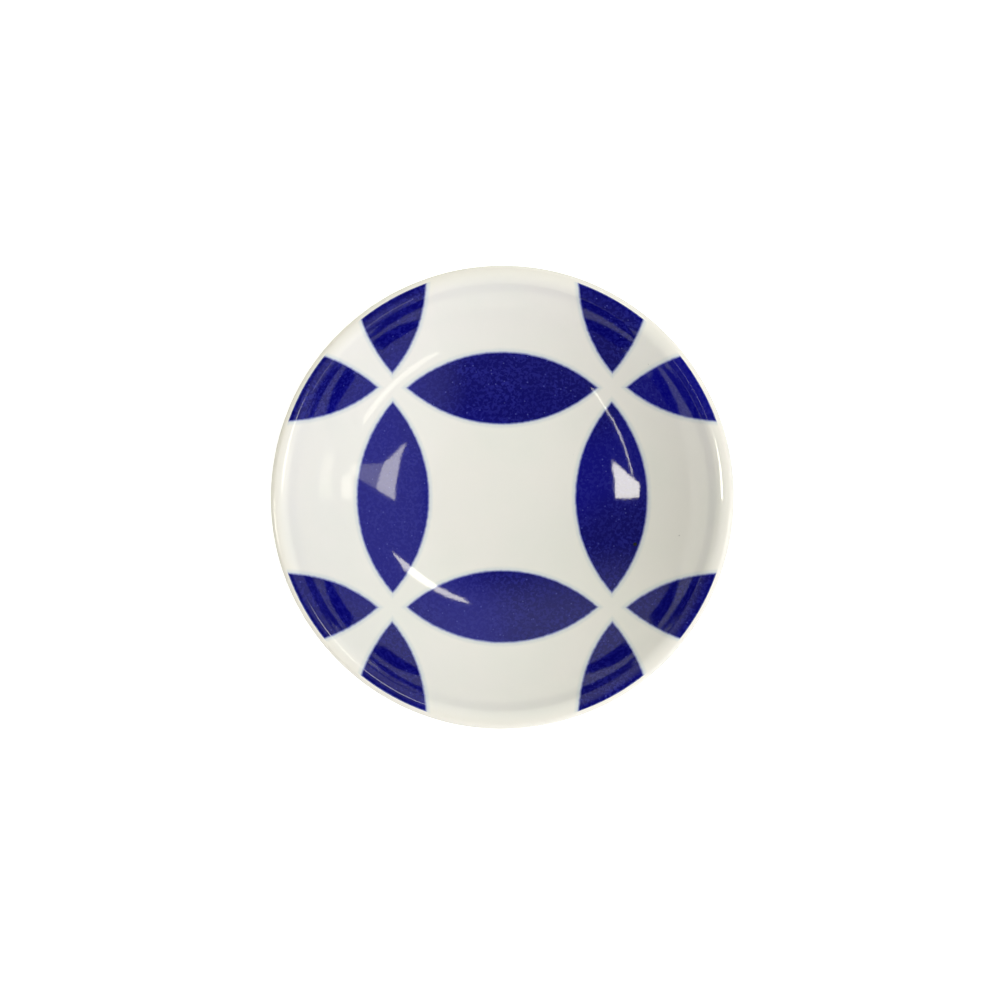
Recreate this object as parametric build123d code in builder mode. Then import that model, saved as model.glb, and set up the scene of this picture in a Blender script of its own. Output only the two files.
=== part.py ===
"""Small round porcelain sauce dish on a foot ring, in millimetres.

The dish stands on its foot ring on the plane Z = 0, with its axis on Z. It is a bowl of
biscuit porcelain, a foot ring luted under it, and the glass that was fired over both:
clear glaze inside, outside and under the foot, and cobalt-blue glass that lies flush in the
inside glaze as a traditional pattern of interlocking circles.
"""

import os
from math import atan2, cos, degrees, radians, sin, sqrt, tan

from build123d import *

# Bowl, over the finished glaze
rim_diameter = 91.0
dish_height = 26.0
wall_thickness = 3.5  # at the floor, from where the wall thins towards the lip
lip_inner_radius = 3.2  # of the lip from the wall up to its crown
lip_outer_radius = 1.0  # of the lip from its crown to the outside
floor_radius = 13.5  # where the almost flat floor turns up into the wall
floor_slope = 7.0  # degrees, at that radius
floor_clearance = 3.6  # from the table to the middle of the underside

# Foot ring, over the finished glaze
foot_diameter = 42.0  # at the tread
foot_width = 3.8  # at the tread
foot_outer_lean = 4.0  # degrees from upright, the foot widening upwards
foot_inner_lean = 12.0
tread_edge_radius = 0.5

# Glaze
glaze_thickness = 0.3
bare_tread_height = 1.3  # wiped back this far from the table, so that the foot doesn't stick in the kiln
pool_radius = 1.5  # of the glaze that gathers in the corners between foot and bowl

# Cobalt pattern, as seen from above
circle_spacing = 44.0
petal_reserve = 2.0  # white left between a petal and the true circles of the pattern
border_angle = 84.0  # degrees round the outer edge of the lip, which stays white outside the border

# Section of the bowl: a floor arc centred on the axis, a wall arc inside and another outside, and a lip
# of two arcs that meet at its crown, each running tangent into the next
crown_radius = rim_diameter / 2 - lip_outer_radius
lip_inner_centre = Vector(crown_radius, dish_height - lip_inner_radius)
lip_outer_centre = Vector(crown_radius, dish_height - lip_outer_radius)
floor_curve = floor_radius / sin(radians(floor_slope))
floor_centre = Vector(0, floor_clearance + wall_thickness + floor_curve)
wall_start = Vector(floor_radius, floor_centre.Y - floor_curve * cos(radians(floor_slope)))
to_wall_centre = (floor_centre - wall_start).normalized()
outer_start = wall_start - to_wall_centre * wall_thickness
to_inner_lip = lip_inner_centre - wall_start
wall_curve = (to_inner_lip.dot(to_inner_lip) - lip_inner_radius**2) / (
    2 * (to_inner_lip.dot(to_wall_centre) + lip_inner_radius)
)
wall_centre = wall_start + to_wall_centre * wall_curve
to_outer_lip = lip_outer_centre - outer_start
outer_curve = (to_outer_lip.dot(to_outer_lip) - lip_outer_radius**2) / (
    2 * (to_outer_lip.dot(to_wall_centre) - lip_outer_radius)
)
outer_centre = outer_start + to_wall_centre * outer_curve
to_rim = lip_inner_centre - wall_centre
rim_slope = 90 + degrees(atan2(to_rim.Y, to_rim.X))
to_outer_rim = lip_outer_centre - outer_centre
outer_rim_slope = 90 + degrees(atan2(to_outer_rim.Y, to_outer_rim.X))

# Sides of the foot at the tread
foot_outer_radius = foot_diameter / 2
foot_inner_radius = foot_outer_radius - foot_width
foot_middle_radius = foot_outer_radius - foot_width / 2

# Two neighbouring circles of the pattern overlap in a petal. Four petals close the circle round the
# middle of the dish, and two on each side start near the tips of those and run out over the lip
circle_radius = circle_spacing / sqrt(2) - petal_reserve
quarter_turns = list(PolarLocations(0, 4))
centre_places = [turn * Location((circle_spacing / 2, 0)) for turn in quarter_turns]
rim_places = [
    turn * Location((side * circle_spacing / 2, circle_spacing))
    for turn in quarter_turns
    for side in (1, -1)
]


def wall_middle(radius):
    """Height of the middle of the wall at a radius from the axis."""
    return wall_centre.Y - sqrt((wall_curve + wall_thickness / 2) ** 2 - (radius - wall_centre.X) ** 2)


def bowl_outline(skin):
    """Half section of the bowl, skin under the finished surface all round."""
    underside_curve = floor_curve + wall_thickness - skin
    with BuildSketch() as outline:
        with BuildLine():
            inside = CenterArc(floor_centre, floor_curve + skin, -90, floor_slope)
            CenterArc(wall_centre, wall_curve + skin, floor_slope - 90, rim_slope - floor_slope)
            CenterArc(lip_inner_centre, lip_inner_radius - skin, rim_slope + 90, -rim_slope)
            CenterArc(lip_outer_centre, lip_outer_radius - skin, 90, outer_rim_slope - 180)
            CenterArc(outer_centre, outer_curve - skin, outer_rim_slope - 90, floor_slope - outer_rim_slope)
            underside = CenterArc(floor_centre, underside_curve, floor_slope - 90, -floor_slope)
            Line(underside @ 1, inside @ 0)
        make_face()
    return outline.sketch


def foot_outline(skin):
    """Half section of the foot, up to the middle of the wall, its sides skin under the finish."""
    outer = foot_outer_radius - skin
    inner = foot_inner_radius + skin
    outer_height = wall_middle(outer)
    inner_height = wall_middle(inner)
    with BuildSketch() as outline:
        with BuildLine():
            Polyline(
                (inner, 0),
                (outer, 0),
                (outer + outer_height * tan(radians(foot_outer_lean)), outer_height),
                (inner - inner_height * tan(radians(foot_inner_lean)), inner_height),
                close=True,
            )
        make_face()
    return outline.sketch


def inside_glaze_outline():
    """Half section of the inside glaze, from the axis over the crown of the lip to its border."""
    skins = (0, glaze_thickness)
    with BuildSketch() as outline:
        with BuildLine():
            starts = [CenterArc(floor_centre, floor_curve + skin, -90, floor_slope) for skin in skins]
            for skin in skins:
                CenterArc(wall_centre, wall_curve + skin, floor_slope - 90, rim_slope - floor_slope)
                CenterArc(lip_inner_centre, lip_inner_radius - skin, rim_slope + 90, -rim_slope)
            ends = [
                CenterArc(lip_outer_centre, lip_outer_radius - skin, 90, border_angle - 90) for skin in skins
            ]
            Line(starts[0] @ 0, starts[1] @ 0)
            Line(ends[0] @ 1, ends[1] @ 1)
        make_face()
    return outline.sketch


def pooled_foot_outline():
    """Half section of the glazed foot below the bowl, with glaze pooled in its corners with the bowl."""
    with BuildSketch() as outline:
        with Locations(outer_centre):
            Circle(outer_curve)
        add(foot_outline(0))
        bowl_corners = outline.vertices().sort_by(Axis.Y)[2:4]  # next above the two corners of the tread
        fillet(bowl_corners, radius=pool_radius)
        with Locations(outer_centre):
            Circle(outer_curve, mode=Mode.SUBTRACT)
    return outline.sketch


def outside_glaze_outline():
    """Half sections of the glaze outside and under the foot, wiped off the tread."""
    with BuildSketch() as outline:
        add(bowl_outline(0))
        add(pooled_foot_outline())
        Rectangle(rim_diameter, 2 * bare_tread_height, mode=Mode.SUBTRACT)
        add(bowl_outline(glaze_thickness), mode=Mode.SUBTRACT)
        add(foot_outline(glaze_thickness), mode=Mode.SUBTRACT)
        add(inside_glaze_outline(), mode=Mode.SUBTRACT)
    return outline.sketch


os.makedirs("parts", exist_ok=True)

# Biscuit porcelain bowl
with BuildPart() as bowl_body:
    with BuildSketch(Plane.XZ):
        add(bowl_outline(glaze_thickness))
    revolve(axis=Axis.Z)
bowl_body.part.label = "bowl_body"
export_step(bowl_body.part, "parts/bowl_body.step")

# Foot ring of the same clay, luted to the underside of the bowl, with a rounded tread
with BuildPart() as foot_ring:
    with BuildSketch(Plane.XZ) as foot_section:
        add(foot_outline(glaze_thickness))
        fillet(foot_section.vertices().group_by(Axis.Y)[0], radius=tread_edge_radius)
        add(bowl_outline(glaze_thickness), mode=Mode.SUBTRACT)
    revolve(axis=Axis.Z)
foot_ring.part.label = "foot_ring"
export_step(foot_ring.part, "parts/foot_ring.step")

# Clear glaze over the outer edge of the lip, the outside of the bowl and the outside of the foot
with BuildPart() as outside_glaze:
    with BuildSketch(Plane.XZ):
        add(outside_glaze_outline())
        with Locations((foot_middle_radius, 0)):
            Rectangle(rim_diameter, 2 * dish_height, align=(Align.MAX, Align.CENTER), mode=Mode.SUBTRACT)
    revolve(axis=Axis.Z)
outside_glaze.part.label = "outside_glaze"
export_step(outside_glaze.part, "parts/outside_glaze.step")

# Clear glaze on the underside, inside the foot ring
with BuildPart() as foot_well_glaze:
    with BuildSketch(Plane.XZ):
        add(outside_glaze_outline())
        with Locations((foot_middle_radius, 0)):
            Rectangle(rim_diameter, 2 * dish_height, align=(Align.MIN, Align.CENTER), mode=Mode.SUBTRACT)
    revolve(axis=Axis.Z)
foot_well_glaze.part.label = "foot_well_glaze"
export_step(foot_well_glaze.part, "parts/foot_well_glaze.step")

# One petal of the pattern on the origin, pointed along Y
with BuildSketch() as petal:
    with Locations((-circle_spacing / 2, 0)):
        Circle(circle_radius)
    with Locations((circle_spacing / 2, 0)):
        Circle(circle_radius, mode=Mode.INTERSECT)

# The whole of the glass inside, from which the clear glaze and the cobalt are cut
with BuildPart() as inside_shell:
    with BuildSketch(Plane.XZ):
        add(inside_glaze_outline())
    revolve(axis=Axis.Z)

# Clear glaze inside, left open where the petals lie
with BuildPart() as inside_glaze:
    add(inside_shell.part)
    with BuildSketch():
        with Locations(*centre_places, *rim_places):
            add(petal.sketch)
    extrude(amount=dish_height, mode=Mode.SUBTRACT)
inside_glaze.part.label = "inside_glaze"
export_step(inside_glaze.part, "parts/inside_glaze.step")

# Cobalt glass of each petal, as deep as the clear glaze, numbered anticlockwise
for ring, places in (("centre", centre_places), ("rim", rim_places)):
    for number, place in enumerate(places, 1):
        with BuildPart() as cobalt_petal:
            add(inside_shell.part)
            with BuildSketch():
                with Locations(place):
                    add(petal.sketch)
            extrude(amount=dish_height, mode=Mode.INTERSECT)
        cobalt_petal.part.label = f"cobalt_{ring}_petal_{number}"
        export_step(cobalt_petal.part, f"parts/cobalt_{ring}_petal_{number}.step")
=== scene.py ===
"""Porcelain sauce dish: its glaze coats, cobalt petals and bare foot, modelled round the CAD frame."""

import math
from collections import namedtuple

import bpy
from mathutils import Matrix, Vector


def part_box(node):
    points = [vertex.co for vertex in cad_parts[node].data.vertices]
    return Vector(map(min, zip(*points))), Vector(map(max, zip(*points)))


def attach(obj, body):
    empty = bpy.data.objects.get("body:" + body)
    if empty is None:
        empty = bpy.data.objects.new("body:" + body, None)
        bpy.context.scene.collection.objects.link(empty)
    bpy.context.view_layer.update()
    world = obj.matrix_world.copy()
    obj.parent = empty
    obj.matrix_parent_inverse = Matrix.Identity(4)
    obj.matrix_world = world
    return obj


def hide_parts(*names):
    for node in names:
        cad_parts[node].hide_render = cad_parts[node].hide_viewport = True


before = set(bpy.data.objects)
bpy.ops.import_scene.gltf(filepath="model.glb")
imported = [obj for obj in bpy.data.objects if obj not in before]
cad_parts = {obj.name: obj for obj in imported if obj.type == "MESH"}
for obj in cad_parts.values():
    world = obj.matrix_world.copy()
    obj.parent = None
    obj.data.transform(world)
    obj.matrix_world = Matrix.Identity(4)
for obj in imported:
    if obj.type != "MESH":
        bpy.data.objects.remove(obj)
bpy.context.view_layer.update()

bl_info = {
    "name": "Porcelain Sauce Dish",
    "version": (1, 0, 0),
    "blender": (4, 5, 0),
    "location": "View3D > Sidebar > Sauce Dish",
    "description": "Models the glaze, the cobalt petals and the bare foot of a small sauce dish",
    "category": "Object",
}

MM = 0.001

# Sizes that the CAD frame holds, in metres
bowl_low, bowl_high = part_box("bowl_body")
inside_low, inside_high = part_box("inside_glaze")
outside_low, outside_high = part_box("outside_glaze")
petal_low, petal_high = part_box("cobalt_centre_petal_1")
frame_rim_diameter = outside_high.x - outside_low.x
frame_glaze = (frame_rim_diameter - (bowl_high.x - bowl_low.x)) / 2
frame_clearance = bowl_low.z - frame_glaze
frame_wall = inside_low.z + frame_glaze - frame_clearance
frame_rim_reserve = (frame_rim_diameter - (inside_high.x - inside_low.x)) / 2
frame_spacing = petal_low.x + petal_high.x
frame_petal_width = petal_high.x - petal_low.x

# Counts of the lathe: facets round the axis and rings along each stretch of a section
FACETS = 288
FLOOR_RINGS = 20
WALL_RINGS = 60
LIP_RINGS = 20
POOL_RINGS = 10
BEAD_RINGS = 5
HIDDEN_RINGS = 12
BORDER_RINGS = 2
PETAL_EDGE_STEPS = 110
SMOOTH_ANGLE = math.radians(35)
MERGE_DISTANCE = 0.001 * MM

# How broad the lumps are in which the firing warped the form and the sponge wandered on the foot
WARP_LUMPS = 22 * MM
WANDER_LUMPS = 6 * MM

# Spin turns clockwise as seen against its axis, so these two turn anticlockwise in section and in plan
SECTION_AXIS = (0, 1, 0)
PLAN_AXIS = (0, 0, -1)

MIDDLE = Vector((0, 0))

Arc = namedtuple("Arc", "centre degrees steps")
Line = namedtuple("Line", "end")
FootSide = namedtuple("FootSide", "base bare_base upwards normal side")
PetalSeed = namedtuple("PetalSeed", "name number step middle")


def linear_rgb(hex_code):
    """Linear colour of an sRGB hex value."""
    channels = [int(hex_code[i : i + 2], 16) / 255 for i in (1, 3, 5)]
    return [c / 12.92 if c <= 0.04045 else ((c + 0.055) / 1.055) ** 2.4 for c in channels]


def length_property(label, description, default):
    """A length in metres."""
    return bpy.props.FloatProperty(
        name=label, description=description, default=default, min=0.0, unit="LENGTH", precision=5
    )


def angle_property(label, description, degrees):
    """An angle, given in degrees."""
    return bpy.props.FloatProperty(
        name=label, description=description, default=math.radians(degrees), unit="ROTATION"
    )


def colour_property(label, description, hex_code):
    """A colour, given as an sRGB hex value."""
    return bpy.props.FloatVectorProperty(
        name=label, description=description, default=linear_rgb(hex_code), subtype="COLOR", min=0.0, max=1.0
    )


class DishSizes(bpy.types.PropertyGroup):
    """Sizes of the dish over its finished glaze."""

    rim_diameter: length_property("Rim diameter", "Across the outside of the lip", frame_rim_diameter)
    dish_height: length_property("Height", "From the table to the crown of the lip", inside_high.z)
    wall_thickness: length_property("Wall", "Floor with its glaze on both sides", frame_wall)
    lip_inner: length_property("Inner lip", "Radius of the lip from the wall up to its crown", 3.2 * MM)
    lip_outer: length_property("Outer lip", "Radius of the lip from its crown to the outside", 1.0 * MM)
    floor_radius: length_property("Floor radius", "Where the floor turns up into the wall", 13.5 * MM)
    floor_slope: angle_property("Floor slope", "Rise of the floor where the wall starts", 7.0)
    floor_clearance: length_property("Clearance", "From the table to the underside", frame_clearance)
    foot_diameter: length_property("Foot diameter", "Across the glazed foot at the tread", 42.0 * MM)
    foot_width: length_property("Foot width", "Across the glazed ring at the tread", 3.8 * MM)
    foot_outer_lean: angle_property("Outer lean", "Of the outside of the foot", 4.0)
    foot_inner_lean: angle_property("Inner lean", "Of the inside of the foot", 12.0)
    tread_edge: length_property("Tread edge", "Radius of both edges of the tread", 0.5 * MM)
    glaze: length_property("Glaze", "Thickness of every coat of glaze", frame_glaze)
    bare_tread: length_property("Bare tread", "Height wiped free of glaze", outside_low.z)
    pool: length_property("Pool", "Radius of the glaze gathered beside the foot", 1.5 * MM)
    rim_reserve: length_property("Rim reserve", "White left at the edge of the lip", frame_rim_reserve)
    circle_spacing: length_property("Circle spacing", "Between circles of the pattern", frame_spacing)
    petal_width: length_property("Petal width", "Across the middle of a petal", frame_petal_width)
    warp: length_property("Warp", "How far the firing moved the form out of true", 0.16 * MM)
    wipe_wander: length_property("Wipe wander", "How far the wiped edge of the glaze wanders", 0.5 * MM)


class DishColours(bpy.types.PropertyGroup):
    """Colours of the clay and of the glass on it."""

    glaze_white: colour_property("Glaze white", "Clear glaze over white porcelain", "#F0EFE7")
    # Rim cream: the cream of thinner glaze on the lip, with a painted warm reflection in it
    rim_cream_and_painted_sheen: colour_property("Rim cream", "Thin glaze on the lip", "#F2F0E5")
    glaze_pool: colour_property("Pooled glaze", "Where the glaze is thick", "#EDEEE5")
    halo: colour_property("Halo", "White stained by the cobalt beside it", "#DCE2DF")
    cobalt: colour_property("Cobalt", "Cobalt where the brush ran dry", "#06057C")
    cobalt_thick: colour_property("Thick cobalt", "Cobalt where the brush was full", "#040364")
    cobalt_pale: colour_property("Pale cobalt", "Lighter grains in the cobalt", "#22248A")
    cobalt_edge: colour_property("Cobalt edge", "Cobalt thinned out at its edge", "#7F88C0")
    crystal: colour_property("Crystals", "Milky crystals in the cobalt", "#4F55AE")
    iron: colour_property("Iron speck", "Specks of iron in the clay", "#1D211C")
    biscuit: colour_property("Biscuit", "Bare fired porcelain", "#E4DECF")
    biscuit_flash: colour_property("Flashing", "Warm line where the glaze stops", "#C9A27C")
    floor: colour_property("Floor", "Paper that the dish stands on", "#F4F4F2")


def dish_sizes():
    """Sizes set in the scene."""
    return bpy.context.scene.dish_sizes


def dish_colours():
    """Colours set in the scene."""
    return bpy.context.scene.dish_colours


def polar(centre, radius, degrees):
    """Point of the section at a radius and an angle round a centre."""
    angle = math.radians(degrees)
    return centre + radius * Vector((math.cos(angle), math.sin(angle)))


def bearing(centre, point):
    """Angle in degrees at which a point of the section lies round a centre."""
    run = point - centre
    return math.degrees(math.atan2(run.y, run.x))


def meet(start, direction, centre, radius):
    """Lower point where a line of the section meets a circle."""
    run = start - centre
    along = run.dot(direction)
    return start + direction * (-along - math.sqrt(along**2 - run.length_squared + radius**2))


def arc_to_lip(start, inward, lip_centre, lip_radius):
    """Radius of the arc that starts square to a direction and runs tangent into the lip."""
    run = lip_centre - start
    return (run.length_squared - lip_radius**2) / (2 * (run.dot(inward) + lip_radius))


class Section:
    """Half section of the dish, each point a radius from the axis and a height above the table."""

    def __init__(self, sizes):
        self.sizes = sizes
        self.floor_slope = math.degrees(sizes.floor_slope)
        crown_radius = sizes.rim_diameter / 2 - sizes.lip_outer
        self.inner_lip = Vector((crown_radius, sizes.dish_height - sizes.lip_inner))
        self.outer_lip = Vector((crown_radius, sizes.dish_height - sizes.lip_outer))
        self.floor_curve = sizes.floor_radius / math.sin(sizes.floor_slope)
        self.floor_middle = sizes.floor_clearance + sizes.wall_thickness
        self.floor_centre = Vector((0, self.floor_middle + self.floor_curve))
        wall_start = polar(self.floor_centre, self.floor_curve, self.floor_slope - 90)
        inward = (self.floor_centre - wall_start).normalized()
        outer_start = wall_start - inward * sizes.wall_thickness
        self.wall_curve = arc_to_lip(wall_start, inward, self.inner_lip, sizes.lip_inner)
        self.outer_curve = arc_to_lip(outer_start, inward, self.outer_lip, -sizes.lip_outer)
        self.wall_centre = wall_start + inward * self.wall_curve
        self.outer_centre = outer_start + inward * self.outer_curve
        self.rim_slope = 90 + bearing(self.wall_centre, self.inner_lip)
        self.outer_rim_slope = 90 + bearing(self.outer_centre, self.outer_lip)
        border_share = (sizes.lip_outer - sizes.rim_reserve) / sizes.lip_outer
        self.border_angle = math.degrees(math.acos(border_share))

    def foot_side(self, outer):
        """One side of the ring: its foot with and without glaze, its way up, and its normal outwards."""
        sizes = self.sizes
        if outer:
            lean, side, radius = sizes.foot_outer_lean, 1, sizes.foot_diameter / 2
        else:
            lean, side, radius = sizes.foot_inner_lean, -1, sizes.foot_diameter / 2 - sizes.foot_width
        base = Vector((radius, 0))
        bare_base = base - Vector((side * sizes.glaze, 0))
        upwards = Vector((side * math.sin(lean), math.cos(lean)))
        normal = Vector((side * math.cos(lean), -math.sin(lean)))
        return FootSide(base, bare_base, upwards, normal, side)

    def foot_corner(self, outer):
        """Point where one bare side of the foot meets the bare underside of the bowl."""
        foot = self.foot_side(outer)
        return meet(foot.bare_base, foot.upwards, self.outer_centre, self.outer_curve - self.sizes.glaze)

    def foot_moves(self, outer):
        """Angle at which the pooled glaze leaves the bowl, and the moves from there.

        They run over the pool, down the foot to the wiped edge, round its bead and up the clay.
        """
        sizes = self.sizes
        foot = self.foot_side(outer)
        pool_base = foot.base + foot.normal * sizes.pool
        pool_centre = meet(pool_base, foot.upwards, self.outer_centre, self.outer_curve + sizes.pool)
        pool_start = bearing(pool_centre, self.outer_centre)
        pool_end = bearing(MIDDLE, -foot.normal)
        bead_climb = foot.upwards * (sizes.bare_tread + sizes.glaze) / foot.upwards.y
        bead_centre = foot.base + bead_climb - foot.normal * sizes.glaze
        return bearing(self.outer_centre, pool_centre), [
            Arc(pool_centre, pool_end - pool_start, POOL_RINGS),
            Line(bead_centre + foot.normal * sizes.glaze),
            Arc(bead_centre, -foot.side * 90, BEAD_RINGS),
            Line(self.foot_corner(outer)),
        ]


def deselect_all():
    """Leave edit mode and select nothing."""
    if bpy.context.mode != "OBJECT":
        bpy.ops.object.mode_set(mode="OBJECT")
    bpy.ops.object.select_all(action="DESELECT")


def make_active(piece):
    """Select one object alone and make it active."""
    deselect_all()
    piece.select_set(True)
    bpy.context.view_layer.objects.active = piece


def start_point(name, place):
    """Start an object as one vertex at a place, and leave it in edit mode."""
    deselect_all()
    bpy.ops.mesh.primitive_plane_add(size=MM)
    piece = bpy.context.object
    piece.name = name
    piece.data.name = name
    bpy.ops.object.mode_set(mode="EDIT")
    bpy.ops.mesh.merge(type="CENTER")
    bpy.ops.transform.translate(value=place)
    return piece


def lathe(name, start, moves):
    """Draw a half section from its start by arcs and lines, and turn it round the axis into a skin."""
    piece = start_point(name, (start.x, 0, start.y))
    place = start
    for move in moves:
        if isinstance(move, Arc):
            bpy.ops.mesh.spin(
                steps=move.steps,
                angle=math.radians(move.degrees),
                center=(move.centre.x, 0, move.centre.y),
                axis=SECTION_AXIS,
            )
            turn = Matrix.Rotation(math.radians(move.degrees), 2)
            place = move.centre + turn @ (place - move.centre)
        else:
            run = move.end - place
            bpy.ops.mesh.extrude_vertices_move(TRANSFORM_OT_translate={"value": (run.x, 0, run.y)})
            place = move.end
    bpy.ops.mesh.select_all(action="SELECT")
    bpy.ops.mesh.spin(steps=FACETS, angle=2 * math.pi, center=(0, 0, 0), axis=PLAN_AXIS)
    bpy.ops.mesh.select_all(action="SELECT")
    bpy.ops.mesh.remove_doubles(threshold=MERGE_DISTANCE)
    bpy.ops.mesh.normals_make_consistent(inside=False)
    bpy.ops.object.mode_set(mode="OBJECT")
    return piece


def inside_shell(name, section):
    """All the glass inside the dish, clear and cobalt together."""
    sizes = section.sizes
    wall_sweep = section.rim_slope - section.floor_slope
    border_sweep = section.border_angle - 90
    return lathe(
        name,
        Vector((0, section.floor_middle)),
        [
            Arc(section.floor_centre, section.floor_slope, FLOOR_RINGS),
            Arc(section.wall_centre, wall_sweep, WALL_RINGS),
            Arc(section.inner_lip, -section.rim_slope, LIP_RINGS),
            Arc(section.outer_lip, border_sweep, BORDER_RINGS),
            Line(polar(section.outer_lip, sizes.lip_outer - sizes.glaze, section.border_angle)),
            Arc(section.outer_lip, -border_sweep, BORDER_RINGS),
            Arc(section.inner_lip, section.rim_slope, HIDDEN_RINGS),
            Arc(section.wall_centre, -wall_sweep, HIDDEN_RINGS),
            Arc(section.floor_centre, -section.floor_slope, HIDDEN_RINGS),
        ],
    )


def petal_prism(name, x, y):
    """Upright prism of one petal, pointed along Y, with its middle at x and y."""
    sizes = dish_sizes()
    half_spacing = sizes.circle_spacing / 2
    circle_radius = half_spacing + sizes.petal_width / 2
    half_length = math.sqrt(circle_radius**2 - half_spacing**2)
    edge_angle = 2 * math.atan2(half_length, half_spacing)
    prism = start_point(name, (x, y - half_length, 0))
    for side in (-1, 1):
        bpy.ops.mesh.spin(
            steps=PETAL_EDGE_STEPS,
            angle=edge_angle,
            center=(x + side * half_spacing, y, 0),
            axis=PLAN_AXIS,
        )
    bpy.ops.mesh.select_all(action="SELECT")
    bpy.ops.mesh.remove_doubles(threshold=MERGE_DISTANCE)
    bpy.ops.mesh.select_all(action="SELECT")
    bpy.ops.mesh.edge_face_add()
    above = sizes.dish_height + sizes.wall_thickness
    bpy.ops.mesh.extrude_region_move(TRANSFORM_OT_translate={"value": (0, 0, above)})
    bpy.ops.mesh.select_all(action="SELECT")
    bpy.ops.mesh.normals_make_consistent(inside=False)
    bpy.ops.object.mode_set(mode="OBJECT")
    return prism


def quarter_turn_copy(original, name, quarters):
    """Copy of an object, with its own mesh, turned anticlockwise round the axis of the dish."""
    make_active(original)
    bpy.ops.object.duplicate()
    copy = bpy.context.object
    copy.name = name
    copy.data.name = name
    bpy.ops.object.mode_set(mode="EDIT")
    bpy.ops.mesh.select_all(action="SELECT")
    bpy.ops.transform.rotate(
        value=-quarters * math.pi / 2, orient_axis="Z", orient_type="GLOBAL", center_override=(0, 0, 0)
    )
    bpy.ops.object.mode_set(mode="OBJECT")
    return copy


def petal_seeds():
    """Each petal that is modelled before its copies: its name and first number, their step, its middle."""
    spacing = dish_sizes().circle_spacing
    return [
        PetalSeed("cobalt_centre_petal", 1, 1, (spacing / 2, 0)),
        PetalSeed("cobalt_rim_petal", 1, 2, (spacing / 2, spacing)),
        PetalSeed("cobalt_rim_petal", 2, 2, (-spacing / 2, spacing)),
    ]


def remove(piece):
    """Delete an object that has served its purpose."""
    make_active(piece)
    bpy.ops.object.delete()


def boolean(piece, other, operation):
    """Cut a piece with another, which is then removed."""
    make_active(piece)
    bpy.ops.object.modifier_add(type="BOOLEAN")
    modifier = piece.modifiers[-1]
    modifier.operation = operation
    modifier.solver = "MANIFOLD"
    modifier.object = other
    bpy.ops.object.modifier_apply(modifier=modifier.name)
    remove(other)


def merge_cut_points(piece):
    """Merge the points that cuts left together, so that no face without area stays."""
    make_active(piece)
    bpy.ops.object.mode_set(mode="EDIT")
    bpy.ops.mesh.select_all(action="SELECT")
    bpy.ops.mesh.remove_doubles(threshold=MERGE_DISTANCE)
    bpy.ops.object.mode_set(mode="OBJECT")


def clouds(name, size):
    """Soft noise for small movements of a form, its lumps about a size across."""
    texture = bpy.data.textures.get(name) or bpy.data.textures.new(name, "CLOUDS")
    texture.noise_scale = size
    texture.noise_depth = 1
    texture.cloud_type = "COLOR"
    return texture


def warp(piece):
    """Move a piece a little out of true, all pieces alike, as the firing does."""
    make_active(piece)
    bpy.ops.object.modifier_add(type="DISPLACE")
    modifier = piece.modifiers[-1]
    modifier.texture = clouds("kiln_warp", WARP_LUMPS)
    modifier.texture_coords = "LOCAL"
    modifier.direction = "RGB_TO_XYZ"
    modifier.strength = dish_sizes().warp
    bpy.ops.object.modifier_apply(modifier=modifier.name)


def wander_wiped_edge(piece):
    """Let the edge of the glaze, wiped by hand on a turning wheel, wander up and down the foot."""
    sizes = dish_sizes()
    make_active(piece)
    group = piece.vertex_groups.new(name="wiped_edge")
    reach = 3 * sizes.glaze  # above the bead, over which the wander dies out
    for vertex in piece.data.vertices:
        weight = 1 - (vertex.co.z - sizes.bare_tread - sizes.glaze) / reach
        group.add([vertex.index], min(max(weight, 0), 1), "REPLACE")
    bpy.ops.object.modifier_add(type="DISPLACE")
    modifier = piece.modifiers[-1]
    modifier.texture = clouds("wipe_wander", WANDER_LUMPS)
    modifier.texture_coords = "LOCAL"
    modifier.direction = "Z"
    modifier.vertex_group = group.name
    modifier.strength = sizes.wipe_wander
    bpy.ops.object.modifier_apply(modifier=modifier.name)
    piece.vertex_groups.clear()


def dress(piece, material, slot, *nodes):
    """Shade a finished piece, give it its material, and let it ride in the place of its CAD nodes."""
    make_active(piece)
    bpy.ops.object.shade_smooth_by_angle(angle=SMOOTH_ANGLE)
    piece.data.materials.clear()
    piece.data.materials.append(material)
    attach(piece, "root")
    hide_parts(*nodes)


NOISE = "ShaderNodeTexNoise"
CELLS = "ShaderNodeTexVoronoi"
RANGE = "ShaderNodeMapRange"
MATH = "ShaderNodeMath"
VECTOR = "ShaderNodeVectorMath"
MIX = "ShaderNodeMix"
BUMP = "ShaderNodeBump"
COORDINATES = "ShaderNodeTexCoord"
AXES = "ShaderNodeSeparateXYZ"
GLOW = "ShaderNodeEmission"
PRINCIPLED = "ShaderNodeBsdfPrincipled"
OUTPUT = "ShaderNodeOutputMaterial"
SMOOTH = {"interpolation_type": "SMOOTHSTEP"}

# Places of the sockets on a Mix node: its share, then a set for colours and another for plain numbers
SHARE = 0
COLOUR = {"data_type": "RGBA"}
UNDER, OVER, MIXED = 6, 7, 2
NUMBER_UNDER, NUMBER_OVER = 2, 3

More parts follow.
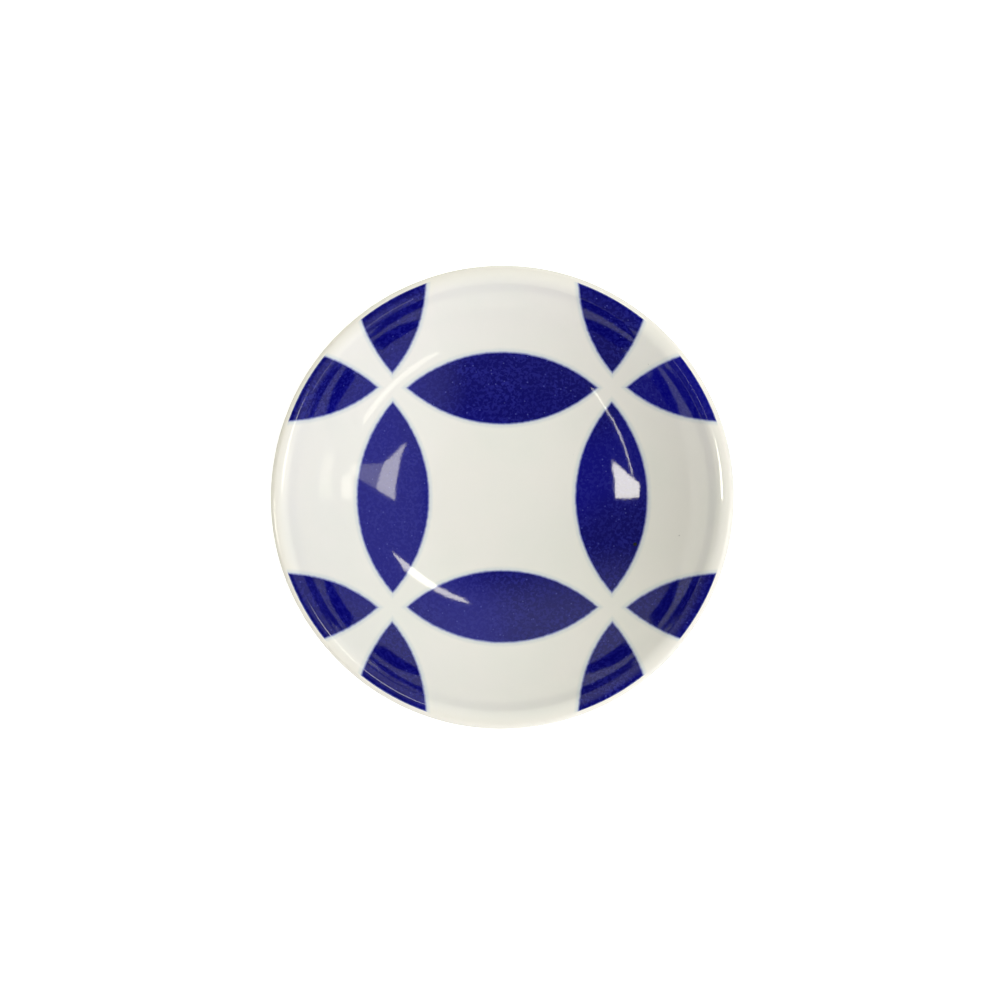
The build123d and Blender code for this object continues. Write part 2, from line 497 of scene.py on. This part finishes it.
# Patterns in the glass, the clay and the paper, by how broad their lumps or cells are
SMEARS = {"Scale": 1 / (9 * MM)}
DIMPLES = {"Scale": 1 / (3.5 * MM), "Detail": 1.0}
EDGE_LUMPS = {"Scale": 1 / (0.9 * MM), "Detail": 3.0}
GLAZE_CLOUDS = {"Scale": 1 / (14 * MM)}
SPECK_CELLS = {"Scale": 1 / (9 * MM)}
BRUSH_STROKES = {"Scale": 1 / (24 * MM), "Detail": 0.0}
WORMS = {"Scale": 1 / (0.65 * MM), "Detail": 1.0, "Distortion": 0.5}
GRAINY_PATCHES = {"Scale": 1 / (7 * MM)}
CRYSTAL_CELLS = {"Scale": 1 / (1.5 * MM)}
CLAY_GRAIN = {"Scale": 1 / (0.35 * MM), "Detail": 4.0}  # coarser than it is, so that it shows
PAPER_FIBRES = {"Scale": 1 / (2 * MM)}

# Where a colour starts to show and where it is full: in a noise, in widths of a cell from its middle, in
# depth inside the edge of a petal, or in height above the table
POOLING = {"From Min": 0.35, "From Max": 0.75}
SPECK = {"From Min": 0.016, "From Max": 0.008, "To Max": 0.6}
STAIN = {"From Min": -1.1 * MM, "From Max": -0.3 * MM}
BLEED = {"From Min": -0.35 * MM, "From Max": 0.05 * MM}
THICK_COBALT = {"From Min": 0.4, "From Max": 0.62}
PALE_GRAIN = {"From Min": 0.42, "From Max": 0.64}
CRYSTAL = {"From Min": 0.16, "From Max": 0.04, "To Max": 0.5}
FULL_COBALT = {"From Min": -0.1 * MM, "From Max": 0.25 * MM}
FLASHING = {"From Min": 0.5 * MM, "From Max": 1.5 * MM, "To Max": 0.45}
TOOTH_SHARE = 0.25
FIBRE_SHARE = 0.05

# How the surfaces reflect, and how deep they are dimpled, rippled and grained
GLAZE_IOR = 1.55
GLAZE_ROUGHNESS = {"To Min": 0.03, "To Max": 0.075}
BISCUIT_ROUGHNESS = 0.75
PAPER_ROUGHNESS = 0.9
DIMPLE_DEPTH = 0.01 * MM
RIPPLE_DEPTH = 0.003 * MM
TOOTH_DEPTH = 0.03 * MM

# How far the edge of the cobalt wanders to either side
EDGE_WANDER = 0.15 * MM

# Multiplied with a place, this leaves its plan
IN_PLAN = (1, 1, 0)

# A single speck of iron has melted into the cobalt, here in plan
IRON_PLACE = (26.7 * MM, -9.4 * MM, 0)
IRON_RADIUS = 0.5 * MM


def add_node(tree, kind, inputs=(), output=0, **settings):
    """Add a node with its settings and links, and give one of its outputs.

    An input takes a value, or the output of another node as its link.
    """
    node = tree.nodes.new(kind)
    for name, value in settings.items():
        setattr(node, name, value)
    for socket, value in dict(inputs).items():
        if isinstance(value, bpy.types.NodeSocket):
            tree.links.new(value, node.inputs[socket])
        else:
            node.inputs[socket].default_value = value
    return node.outputs[output] if node.outputs else None


def new_material(name):
    """An empty node material; gives its tree too."""
    material = bpy.data.materials.new(name)
    material.use_nodes = True
    tree = material.node_tree
    tree.nodes.clear()
    return material, tree


def material_once(name, make, *details):
    """A material, made at its first use."""
    return bpy.data.materials.get(name) or make(name, *details)


def rgba(colour):
    """Colour with full alpha, as sockets take it."""
    return (*colour, 1)


def glaze_surface(tree, place, colour, ripple=None):
    """Fired glaze: glass-smooth, with the faint dimpled skin that it cools with."""
    smears = add_node(tree, NOISE, {"Vector": place, **SMEARS})
    roughness = add_node(tree, RANGE, {"Value": smears, **GLAZE_ROUGHNESS})
    dimples = add_node(tree, NOISE, {"Vector": place, **DIMPLES})
    normal = add_node(tree, BUMP, {"Height": dimples, "Distance": DIMPLE_DEPTH})
    if ripple is not None:
        normal = add_node(tree, BUMP, {"Height": ripple, "Distance": RIPPLE_DEPTH, "Normal": normal})
    gloss = {"Base Color": colour, "Roughness": roughness, "IOR": GLAZE_IOR, "Normal": normal}
    shader = add_node(tree, PRINCIPLED, gloss)
    add_node(tree, OUTPUT, {"Surface": shader})


def axis_distance(tree, place):
    """Distance from the axis of the dish."""
    flat = add_node(tree, VECTOR, {0: place, 1: IN_PLAN}, operation="MULTIPLY")
    return add_node(tree, VECTOR, {0: flat}, "Value", operation="LENGTH")


def petal_depth(tree, place):
    """Distance inside the edge of the nearest petal, below 0 outside it, with the edge a little bled."""
    sizes = dish_sizes()
    spacing = sizes.circle_spacing
    circle_radius = (spacing + sizes.petal_width) / 2
    border = sizes.rim_diameter / 2 - sizes.rim_reserve
    # The pattern repeats, so every place is folded into one eighth of a square of it, with half a petal
    axes = add_node(tree, AXES, {0: place}).node.outputs
    across = add_node(tree, MATH, {0: axes[0], 1: spacing / 2}, operation="PINGPONG")
    along = add_node(tree, MATH, {0: axes[1], 1: spacing / 2}, operation="PINGPONG")
    larger = add_node(tree, MATH, {0: across, 1: along}, operation="MAXIMUM")
    smaller = add_node(tree, MATH, {0: across, 1: along}, operation="MINIMUM")
    folded = add_node(tree, "ShaderNodeCombineXYZ", {0: larger, 1: smaller})
    reach = add_node(tree, VECTOR, {0: folded, 1: (spacing, 0, 0)}, "Value", operation="DISTANCE")
    in_petal = add_node(tree, MATH, {0: circle_radius, 1: reach}, operation="SUBTRACT")
    in_border = add_node(tree, MATH, {0: border, 1: axis_distance(tree, place)}, operation="SUBTRACT")
    depth = add_node(tree, MATH, {0: in_petal, 1: in_border}, operation="MINIMUM")
    lumps = add_node(tree, NOISE, {"Vector": place, **EDGE_LUMPS})
    wander = add_node(tree, RANGE, {"Value": lumps, "To Min": -EDGE_WANDER, "To Max": EDGE_WANDER})
    return add_node(tree, MATH, {0: depth, 1: wander}, operation="ADD")


def clear_glaze(name, beside_cobalt):
    """Clear feldspar glaze fired on white porcelain: glossy, milky, cream on the lip where the glaze runs
    thinner, that cream partly a painted warm reflection.
    """
    colours = dish_colours()
    sizes = dish_sizes()
    material, tree = new_material(name)
    place = add_node(tree, COORDINATES, output="Object")
    cloudy = add_node(tree, NOISE, {"Vector": place, **GLAZE_CLOUDS})
    pooling = add_node(tree, RANGE, {"Value": cloudy, **POOLING}, **SMOOTH)
    radius = axis_distance(tree, place)
    edge = sizes.rim_diameter / 2
    # Cream towards the lip: thinner glaze there, and partly a painted warm reflection
    lip = {"From Min": edge - sizes.wall_thickness, "From Max": edge}
    thin_glaze_and_painted_sheen = add_node(tree, RANGE, {"Value": radius, **lip}, **SMOOTH)
    # Pinholes and iron specks are a fifth of a millimetre across and rare
    cells = add_node(tree, CELLS, {"Vector": place, **SPECK_CELLS})
    speck = add_node(tree, RANGE, {"Value": cells, **SPECK}, **SMOOTH)
    layers = [(pooling, colours.glaze_pool), (thin_glaze_and_painted_sheen, colours.rim_cream_and_painted_sheen), (speck, colours.iron)]
    if beside_cobalt:
        # The cobalt stains the white for a millimetre round it and bleeds over its edge
        depth = petal_depth(tree, place)
        stain = add_node(tree, RANGE, {"Value": depth, **STAIN}, **SMOOTH)
        bleed = add_node(tree, RANGE, {"Value": depth, **BLEED}, **SMOOTH)
        layers += [(stain, colours.halo), (bleed, colours.cobalt_edge)]
    colour = rgba(colours.glaze_white)
    for share, over in layers:
        colour = add_node(tree, MIX, {SHARE: share, UNDER: colour, OVER: rgba(over)}, MIXED, **COLOUR)
    glaze_surface(tree, place, colour)
    return material


def cobalt_glaze(name):
    """Cobalt oxide fired in the glaze: near black blue, grainy with paler crystals, thinned at its edge."""
    colours = dish_colours()
    material, tree = new_material(name)
    place = add_node(tree, COORDINATES, output="Object")
    brushed = add_node(tree, NOISE, {"Vector": place, **BRUSH_STROKES})
    thick = add_node(tree, RANGE, {"Value": brushed, **THICK_COBALT}, **SMOOTH)
    worms = add_node(tree, NOISE, {"Vector": place, **WORMS})
    grain = add_node(tree, RANGE, {"Value": worms, **PALE_GRAIN}, **SMOOTH)
    patches = add_node(tree, NOISE, {"Vector": place, **GRAINY_PATCHES})
    pale = add_node(tree, MATH, {0: grain, 1: patches}, operation="MULTIPLY")
    cells = add_node(tree, CELLS, {"Vector": place, **CRYSTAL_CELLS})
    crystal = add_node(tree, RANGE, {"Value": cells, **CRYSTAL}, **SMOOTH)
    flat = add_node(tree, VECTOR, {0: place, 1: IN_PLAN}, operation="MULTIPLY")
    off = add_node(tree, VECTOR, {0: flat, 1: IRON_PLACE}, "Value", operation="DISTANCE")
    spot = {"From Min": IRON_RADIUS, "From Max": IRON_RADIUS / 2}
    iron = add_node(tree, RANGE, {"Value": off, **spot}, **SMOOTH)
    layers = [
        (thick, colours.cobalt_thick),
        (pale, colours.cobalt_pale),
        (crystal, colours.crystal),
        (iron, colours.iron),
    ]
    colour = rgba(colours.cobalt)
    for share, over in layers:
        colour = add_node(tree, MIX, {SHARE: share, UNDER: colour, OVER: rgba(over)}, MIXED, **COLOUR)
    full = add_node(tree, RANGE, {"Value": petal_depth(tree, place), **FULL_COBALT}, **SMOOTH)
    thinned = rgba(colours.cobalt_edge)
    colour = add_node(tree, MIX, {SHARE: full, UNDER: thinned, OVER: colour}, MIXED, **COLOUR)
    glaze_surface(tree, place, colour, worms)
    return material


def biscuit_porcelain(name):
    """Unglazed fired porcelain: matt, warm white, with a fine sandy tooth and a warm line at the glaze."""
    colours = dish_colours()
    material, tree = new_material(name)
    place = add_node(tree, COORDINATES, output="Object")
    grain = add_node(tree, NOISE, {"Vector": place, **CLAY_GRAIN})
    height = add_node(tree, AXES, {0: place}, "Z")
    flash = add_node(tree, RANGE, {"Value": height, **FLASHING}, **SMOOTH)
    tooth = add_node(tree, MATH, {0: grain, 1: TOOTH_SHARE}, operation="MULTIPLY")
    warm = rgba(colours.biscuit_flash)
    colour = rgba(colours.biscuit)
    for share in (flash, tooth):
        colour = add_node(tree, MIX, {SHARE: share, UNDER: colour, OVER: warm}, MIXED, **COLOUR)
    normal = add_node(tree, BUMP, {"Height": grain, "Distance": TOOTH_DEPTH})
    matt = {"Base Color": colour, "Roughness": BISCUIT_ROUGHNESS, "Normal": normal}
    shader = add_node(tree, PRINCIPLED, matt)
    add_node(tree, OUTPUT, {"Surface": shader})
    return material


class DISH_OT_inside_glaze(bpy.types.Operator):
    """Turn the clear glaze inside the dish and open it where the petals lie"""

    bl_idname = "dish.inside_glaze"
    bl_label = "Inside Glaze"

    def execute(self, context):
        coat = inside_shell("inside_glaze_coat", Section(dish_sizes()))
        for seed in petal_seeds():
            opening = petal_prism("petal_opening", *seed.middle)
            for quarters in (1, 2, 3):
                boolean(coat, quarter_turn_copy(opening, "petal_opening", quarters), "DIFFERENCE")
            boolean(coat, opening, "DIFFERENCE")
        merge_cut_points(coat)
        warp(coat)
        material = material_once("clear_glaze_beside_cobalt", clear_glaze, True)
        dress(coat, material, "clear_glaze", "inside_glaze")
        return {"FINISHED"}


class DISH_OT_cobalt_petals(bpy.types.Operator):
    """Cut the petals from the glass inside the dish and copy them by quarter turns"""

    bl_idname = "dish.cobalt_petals"
    bl_label = "Cobalt Petals"

    def execute(self, context):
        material = material_once("cobalt_blue_glaze_fired_on_porcelain", cobalt_glaze)
        shell = inside_shell("inside_shell", Section(dish_sizes()))
        for seed in petal_seeds():
            original = quarter_turn_copy(shell, "petal_seed", 0)
            boolean(original, petal_prism("petal_outline", *seed.middle), "INTERSECT")
            merge_cut_points(original)
            for quarters in range(4):
                node = f"{seed.name}_{seed.number + quarters * seed.step}"
                petal = quarter_turn_copy(original, f"{node}_glass", quarters)
                self.check_place(petal, node)
                warp(petal)
                dress(petal, material, "cobalt_glaze", node)
            remove(original)
        remove(shell)
        return {"FINISHED"}

    def check_place(self, petal, node):
        """Stop if a petal doesn't lie where its CAD node does."""
        low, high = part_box(node)
        middle = sum((vertex.co for vertex in petal.data.vertices), Vector()) / len(petal.data.vertices)
        if not all(low[i] < middle[i] < high[i] for i in range(3)):
            raise RuntimeError(f"{petal.name} doesn't lie where {node} does")


class DISH_OT_outside_glaze(bpy.types.Operator):
    """Turn the clear glaze over the edge of the lip, the outside of the bowl and the outside of the foot"""

    bl_idname = "dish.outside_glaze"
    bl_label = "Outside Glaze"

    def execute(self, context):
        section = Section(dish_sizes())
        pool_angle, foot_moves = section.foot_moves(True)
        wall_end = section.outer_rim_slope - 90
        lip_sweep = wall_end - section.border_angle
        corner_angle = bearing(section.outer_centre, section.foot_corner(True))
        border = polar(section.outer_lip, dish_sizes().lip_outer, section.border_angle)
        coat = lathe(
            "outside_glaze_coat",
            border,
            [
                Arc(section.outer_lip, lip_sweep, LIP_RINGS),
                Arc(section.outer_centre, pool_angle - wall_end, WALL_RINGS),
                *foot_moves,
                Arc(section.outer_centre, wall_end - corner_angle, HIDDEN_RINGS),
                Arc(section.outer_lip, -lip_sweep, HIDDEN_RINGS),
                Line(border),
            ],
        )
        warp(coat)
        wander_wiped_edge(coat)
        material = material_once("clear_glaze_on_porcelain", clear_glaze, False)
        dress(coat, material, "clear_glaze", "outside_glaze")
        return {"FINISHED"}


class DISH_OT_foot_well_glaze(bpy.types.Operator):
    """Turn the clear glaze on the underside, inside the foot ring"""

    bl_idname = "dish.foot_well_glaze"
    bl_label = "Foot Well Glaze"

    def execute(self, context):
        section = Section(dish_sizes())
        pool_angle, foot_moves = section.foot_moves(False)
        wall_start = section.floor_slope - 90
        corner_angle = bearing(section.outer_centre, section.foot_corner(False))
        coat = lathe(
            "foot_well_glaze_coat",
            Vector((0, dish_sizes().floor_clearance)),
            [
                Arc(section.floor_centre, section.floor_slope, FLOOR_RINGS),
                Arc(section.outer_centre, pool_angle - wall_start, BEAD_RINGS),
                *foot_moves,
                Arc(section.outer_centre, wall_start - corner_angle, HIDDEN_RINGS),
                Arc(section.floor_centre, -section.floor_slope, HIDDEN_RINGS),
            ],
        )
        warp(coat)
        wander_wiped_edge(coat)
        material = material_once("clear_glaze_on_porcelain", clear_glaze, False)
        dress(coat, material, "clear_glaze", "foot_well_glaze")
        return {"FINISHED"}


class DISH_OT_foot_ring(bpy.types.Operator):
    """Turn the foot ring of bare clay, with its rounded tread"""

    bl_idname = "dish.foot_ring"
    bl_label = "Foot Ring"

    def execute(self, context):
        section = Section(dish_sizes())
        edge = dish_sizes().tread_edge
        outer_corner = section.foot_corner(True)
        inner_corner = section.foot_corner(False)
        tread_edges = []
        for outer in (True, False):
            foot = section.foot_side(outer)
            inset = edge * (1 + foot.normal.y) / abs(foot.normal.x)
            centre = Vector((foot.bare_base.x - foot.side * inset, edge))
            tread_edges.append((centre, foot.normal))
        (outer_centre, outer_normal), (inner_centre, inner_normal) = tread_edges
        outer_sweep = -90 - bearing(MIDDLE, outer_normal)
        inner_sweep = -90 - bearing(MIDDLE, inner_normal)
        top_start = bearing(section.outer_centre, inner_corner)
        top_sweep = bearing(section.outer_centre, outer_corner) - top_start
        ring = lathe(
            "foot_ring_biscuit",
            outer_corner,
            [
                Line(outer_centre + outer_normal * edge),
                Arc(outer_centre, outer_sweep, BEAD_RINGS),
                Line(Vector((inner_centre.x, 0))),
                Arc(inner_centre, -inner_sweep, BEAD_RINGS),
                Line(inner_corner),
                Arc(section.outer_centre, top_sweep, HIDDEN_RINGS),
            ],
        )
        material = material_once("biscuit_porcelain_bare_fired", biscuit_porcelain)
        dress(ring, material, "biscuit_porcelain", "foot_ring")
        return {"FINISHED"}


class DISH_OT_bowl_body(bpy.types.Operator):
    """Give the bowl under the glaze its bare porcelain"""

    bl_idname = "dish.bowl_body"
    bl_label = "Bowl Body"

    def execute(self, context):
        material = material_once("biscuit_porcelain_bare_fired", biscuit_porcelain)
        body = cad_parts["bowl_body"]
        body.data.materials.clear()
        body.data.materials.append(material)
        return {"FINISHED"}


# Glowing panels hang in one ceiling plane and mirror in the glaze. Each has a radiance and four corners in
# order, given as shares of the ceiling's height above the table
CEILING = 0.9
PANEL_TINT = "#FFFBE9"
PANELS = (
    ("right_panel", 8.0, (0.64, -0.36), (0.68, 0.01), (0.99, -0.07), (0.89, -0.26)),
    ("right_panel_tail", 2.5, (0.89, -0.26), (0.99, -0.07), (1.83, -0.28), (1.88, -0.39)),
    ("right_pane", 3.0, (1.75, -0.29), (1.68, 0.02), (2.27, 0.02), (2.34, -0.28)),
    ("right_low_pane", 1.8, (3.8, -0.94), (3.1, 0.0), (6.5, 0.0), (7.5, -1.8)),
    ("left_panel", 15.5, (-0.75, -0.24), (-0.76, 0.0), (-1.23, 0.0), (-1.24, -0.12)),
    ("left_strip", 10.0, (-0.85, -1.06), (-0.89, -1.06), (-1.1, -0.18), (-1.07, -0.18)),
    ("right_rear_strip", 3.2, (1.68, -0.9), (1.92, -1.09), (0.95, -2.04), (0.78, -1.81)),
    ("front_strip", 12.0, (0.84, 0.42), (0.74, 0.56), (0.22, 0.69), (0.25, 0.62)),
)

# Softboxes face the dish and light it without showing in the glaze. Each has a compass angle, an angle
# above the table, a radiance, and its shares of red and blue beside green
SOFTBOX_DISTANCE = 1.3
SOFTBOX_WIDTH = 0.9
SOFTBOX_HEIGHT = 0.6
SOFTBOXES = (
    ("right_softbox", 0, 40, 2.4, 0.96, 1.18),
    ("front_low_softbox", 270, 15, 3.05, 1.03, 1.0),
    ("front_high_softbox", 270, 40, 0.75, 1.0, 1.5),
    ("back_left_softbox", 135, 65, 1.4, 1.0, 0.76),
)

# Radiance of the room to the left and overhead. Each other side has the number of its axis, the part of a
# direction along that axis from which the side shows in full, and its radiance
ROOM_TINT = "#FCFBFF"
ROOM_LEFT = 0.12
ROOM_OVERHEAD = 0.05
ROOM_SIDES = (
    ("right_side", 0, 0.45, 0.55),
    ("front_side", 1, -0.7, 0.15),
    ("back_side", 1, 0.7, 0.7),
)
SIDE_START = 0.15  # share of that part at which a side starts to show
OVERHEAD_FADE = {"From Min": 0.94, "From Max": 0.985}

# Paper under the dish, and the film on it with its radiance
FLOOR_SIZE = 6.0
FLOOR_DEPTH = 0.2 * MM
FILM_DEPTH = 0.1 * MM
FILM_GLOW = 0.42

# Vertices of a new plane in order round it
PLANE_ORDER = (0, 1, 3, 2)

# The camera looks straight down, and the dish is 463 of the picture's 1000 pixels across
PICTURE = 1000
RIM_PIXELS = 463
RIM_MIDDLE = (502.3, 497.3)
LENS = 100
SENSOR = 36
CLIP_START = 0.01


class DISH_OT_stage(bpy.types.Operator):
    """Set up the floor, the lamps, the surroundings and the camera"""

    bl_idname = "dish.stage"
    bl_label = "Stage"

    def execute(self, context):
        self.lay_floor()
        self.lay_film()
        for name, radiance, *corners in PANELS:
            self.hang_panel(name, radiance, corners)
        for softbox in SOFTBOXES:
            self.stand_softbox(*softbox)
        self.light_surroundings()
        self.place_camera()
        context.scene.view_settings.view_transform = "Standard"
        return {"FINISHED"}

    def lay_sheet(self, name, depth):
        """A flat sheet on the table, a little under the tread of the dish."""
        deselect_all()
        bpy.ops.mesh.primitive_plane_add(size=FLOOR_SIZE, location=(0, 0, -depth))
        sheet = bpy.context.object
        sheet.name = name
        return sheet

    def lay_floor(self):
        """White paper, which takes the light and the shadows."""
        floor = self.lay_sheet("floor", FLOOR_DEPTH)
        material, tree = new_material("white_paper_sweep")
        place = add_node(tree, COORDINATES, output="Object")
        fibres = add_node(tree, NOISE, {"Vector": place, **PAPER_FIBRES})
        faint = add_node(tree, MATH, {0: fibres, 1: FIBRE_SHARE}, operation="MULTIPLY")
        paper, white = rgba(dish_colours().floor), rgba((1, 1, 1))
        colour = add_node(tree, MIX, {SHARE: faint, UNDER: paper, OVER: white}, MIXED, **COLOUR)
        shader = add_node(tree, PRINCIPLED, {"Base Color": colour, "Roughness": PAPER_ROUGHNESS})
        add_node(tree, OUTPUT, {"Surface": shader})
        floor.data.materials.append(material)

    def lay_film(self):
        """Clear film on the paper, with a glow that whitens it and lights nothing else."""
        film = self.lay_sheet("floor_film", FILM_DEPTH)
        film.visible_diffuse = False
        film.visible_glossy = False
        film.visible_transmission = False
        film.visible_shadow = False
        material, tree = new_material("clear_glowing_film")
        glow = add_node(tree, GLOW, {"Strength": FILM_GLOW})
        clear = add_node(tree, "ShaderNodeBsdfTransparent")
        both = add_node(tree, "ShaderNodeAddShader", {0: glow, 1: clear})
        add_node(tree, OUTPUT, {"Surface": both})
        film.data.materials.append(material)

    def hang_panel(self, name, radiance, corners):
        """One glowing panel in the ceiling plane, seen in the glaze and not by the camera."""
        deselect_all()
        bpy.ops.mesh.primitive_plane_add()
        panel = bpy.context.object
        panel.name = name
        for index, corner in zip(PLANE_ORDER, corners):
            panel.data.vertices[index].co = Vector((*corner, 1)) * CEILING
        panel.visible_camera = False
        panel.visible_shadow = False
        material, tree = new_material(name)
        tint = rgba(linear_rgb(PANEL_TINT))
        glow = add_node(tree, GLOW, {"Color": tint, "Strength": radiance})
        add_node(tree, OUTPUT, {"Surface": glow})
        panel.data.materials.append(material)

    def stand_softbox(self, name, compass, climb, radiance, red, blue):
        """One softbox that faces the dish."""
        level = polar(MIDDLE, SOFTBOX_DISTANCE, climb)
        place = Vector((*polar(MIDDLE, level.x, compass), level.y))
        deselect_all()
        bpy.ops.object.light_add(type="AREA", location=place)
        softbox = bpy.context.object
        softbox.name = name
        softbox.rotation_euler = place.to_track_quat("Z", "Y").to_euler()
        softbox.visible_camera = False
        softbox.visible_glossy = False
        softbox.data.shape = "RECTANGLE"
        softbox.data.size = SOFTBOX_WIDTH
        softbox.data.size_y = SOFTBOX_HEIGHT
        softbox.data.energy = radiance * math.pi * SOFTBOX_WIDTH * SOFTBOX_HEIGHT
        softbox.data.color = (red, 1, blue)

    def light_surroundings(self):
        """A pale room that is darker overhead."""
        world = bpy.data.worlds.new("pale_room")
        world.use_nodes = True
        tree = world.node_tree
        tree.nodes.clear()
        direction = add_node(tree, COORDINATES, output="Generated")
        axes = add_node(tree, AXES, {0: direction}).node.outputs
        light = ROOM_LEFT
        for name, axis, full, radiance in ROOM_SIDES:
            fade = {"From Min": SIDE_START * full, "From Max": full, "To Max": radiance}
            side = add_node(tree, RANGE, {"Value": axes[axis], **fade}, label=name, **SMOOTH)
            light = add_node(tree, MATH, {0: side, 1: light}, operation="MAXIMUM")
        overhead = add_node(tree, RANGE, {"Value": axes["Z"], **OVERHEAD_FADE}, **SMOOTH)
        light = add_node(tree, MIX, {SHARE: overhead, NUMBER_UNDER: light, NUMBER_OVER: ROOM_OVERHEAD})
        tint = rgba(linear_rgb(ROOM_TINT))
        background = add_node(tree, "ShaderNodeBackground", {"Color": tint, "Strength": light})
        add_node(tree, "ShaderNodeOutputWorld", {"Surface": background})
        bpy.context.scene.world = world

    def place_camera(self):
        """Camera above the rim, square to the table."""
        sizes = dish_sizes()
        pixel = sizes.rim_diameter / RIM_PIXELS
        rim_height = sizes.dish_height - sizes.lip_outer
        distance = pixel * PICTURE * LENS / SENSOR
        aside = (PICTURE / 2 - RIM_MIDDLE[0]) * pixel
        along = (RIM_MIDDLE[1] - PICTURE / 2) * pixel
        deselect_all()
        bpy.ops.object.camera_add(location=(aside, along, rim_height + distance), rotation=(0, 0, 0))
        camera = bpy.context.object
        camera.name = "camera"
        camera.data.lens = LENS
        camera.data.sensor_width = SENSOR
        camera.data.clip_start = CLIP_START
        bpy.context.scene.camera = camera


STEPS = (
    DISH_OT_inside_glaze,
    DISH_OT_cobalt_petals,
    DISH_OT_outside_glaze,
    DISH_OT_foot_well_glaze,
    DISH_OT_foot_ring,
    DISH_OT_bowl_body,
    DISH_OT_stage,
)


class DISH_PT_sauce_dish(bpy.types.Panel):
    """Steps, sizes and colours of the dish"""

    bl_idname = "DISH_PT_sauce_dish"
    bl_label = "Porcelain Sauce Dish"
    bl_space_type = "VIEW_3D"
    bl_region_type = "UI"
    bl_category = "Sauce Dish"

    def draw(self, context):
        layout = self.layout
        for step in STEPS:
            layout.operator(step.bl_idname)
        for group in (context.scene.dish_sizes, context.scene.dish_colours):
            box = layout.box()
            for name in group.__annotations__:
                box.prop(group, name)


CLASSES = (DishSizes, DishColours, *STEPS, DISH_PT_sauce_dish)


def register():
    """Make the dish's sizes, colours, steps and panel known to Blender."""
    for cls in CLASSES:
        bpy.utils.register_class(cls)
    bpy.types.Scene.dish_sizes = bpy.props.PointerProperty(type=DishSizes)
    bpy.types.Scene.dish_colours = bpy.props.PointerProperty(type=DishColours)


def unregister():
    """Take them away again."""
    del bpy.types.Scene.dish_colours
    del bpy.types.Scene.dish_sizes
    for cls in reversed(CLASSES):
        bpy.utils.unregister_class(cls)


def main():
    """Build the whole dish on its stage."""
    register()
    bpy.ops.dish.inside_glaze()
    bpy.ops.dish.cobalt_petals()
    bpy.ops.dish.outside_glaze()
    bpy.ops.dish.foot_well_glaze()
    bpy.ops.dish.foot_ring()
    bpy.ops.dish.bowl_body()
    bpy.ops.dish.stage()


if __name__ == "__main__":
    main()
